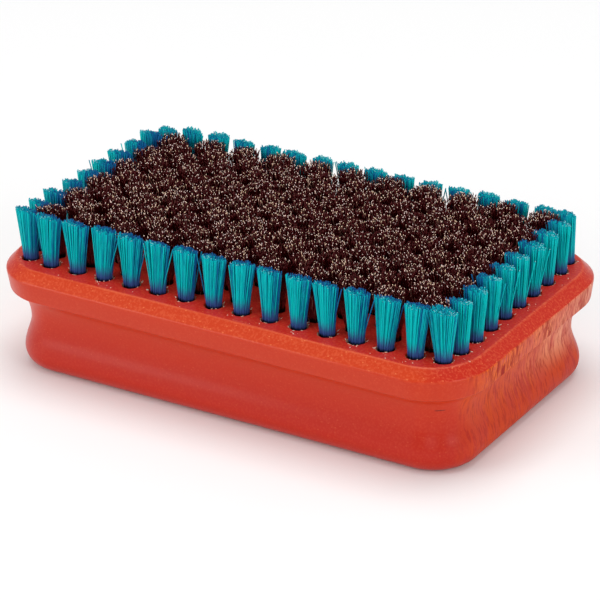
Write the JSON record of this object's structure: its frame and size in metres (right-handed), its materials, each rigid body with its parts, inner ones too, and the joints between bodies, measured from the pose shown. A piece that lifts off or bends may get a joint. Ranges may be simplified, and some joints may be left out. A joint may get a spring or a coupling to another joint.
{
  "type": "ski brush",
  "caption": "Rectangular hand brush for ski bases: lacquered wooden block with a finger groove, a nylon tuft border and a staggered bronze wire field.",
  "frame": {"origin": "centre of the footprint of the flat back, on which the brush lies with its bristles up", "axes": "+X along the block, +Y across it, +Z out of the bristled face"},
  "size_m": [0.125, 0.073, 0.0391],
  "materials": {
    "lacquered_wood": "clear red-orange lacquer over beech, glossy, grain showing at the ends",
    "nylon": "turquoise filaments, deep blue at the roots",
    "bronze_wire": "crimped fine wire, dark sides and bright cut tips",
    "anchor_wire": "bare flat wire"
  },
  "bodies": {
    "root": {"brush_block": "lacquered_wood", "nylon_border_bristles": "nylon", "bronze_field_bristles": "bronze_wire", "nylon_anchor_01": "anchor_wire", "nylon_anchor_02": "anchor_wire", "nylon_anchor_03": "anchor_wire", "nylon_anchor_04": "anchor_wire", "nylon_anchor_05": "anchor_wire", "nylon_anchor_06": "anchor_wire", "nylon_anchor_07": "anchor_wire", "nylon_anchor_08": "anchor_wire", "nylon_anchor_09": "anchor_wire", "nylon_anchor_10": "anchor_wire", "nylon_anchor_11": "anchor_wire", "nylon_anchor_12": "anchor_wire", "nylon_anchor_13": "anchor_wire", "nylon_anchor_14": "anchor_wire", "nylon_anchor_15": "anchor_wire", "nylon_anchor_16": "anchor_wire", "nylon_anchor_17": "anchor_wire", "nylon_anchor_18": "anchor_wire", "nylon_anchor_19": "anchor_wire", "nylon_anchor_20": "anchor_wire", "nylon_anchor_21": "anchor_wire", "nylon_anchor_22": "anchor_wire", "nylon_anchor_23": "anchor_wire", "nylon_anchor_24": "anchor_wire", "nylon_anchor_25": "anchor_wire", "nylon_anchor_26": "anchor_wire", "nylon_anchor_27": "anchor_wire", "nylon_anchor_28": "anchor_wire", "nylon_anchor_29": "anchor_wire", "nylon_anchor_30": "anchor_wire", "nylon_anchor_31": "anchor_wire", "nylon_anchor_32": "anchor_wire", "nylon_anchor_33": "anchor_wire", "nylon_anchor_34": "anchor_wire", "nylon_anchor_35": "anchor_wire", "nylon_anchor_36": "anchor_wire", "nylon_anchor_37": "anchor_wire", "nylon_anchor_38": "anchor_wire", "nylon_anchor_39": "anchor_wire", "nylon_anchor_40": "anchor_wire", "nylon_anchor_41": "anchor_wire", "nylon_anchor_42": "anchor_wire", "nylon_anchor_43": "anchor_wire", "nylon_anchor_44": "anchor_wire", "nylon_anchor_45": "anchor_wire", "nylon_anchor_46": "anchor_wire", "nylon_anchor_47": "anchor_wire", "nylon_anchor_48": "anchor_wire"}
  },
  "joints": []
}
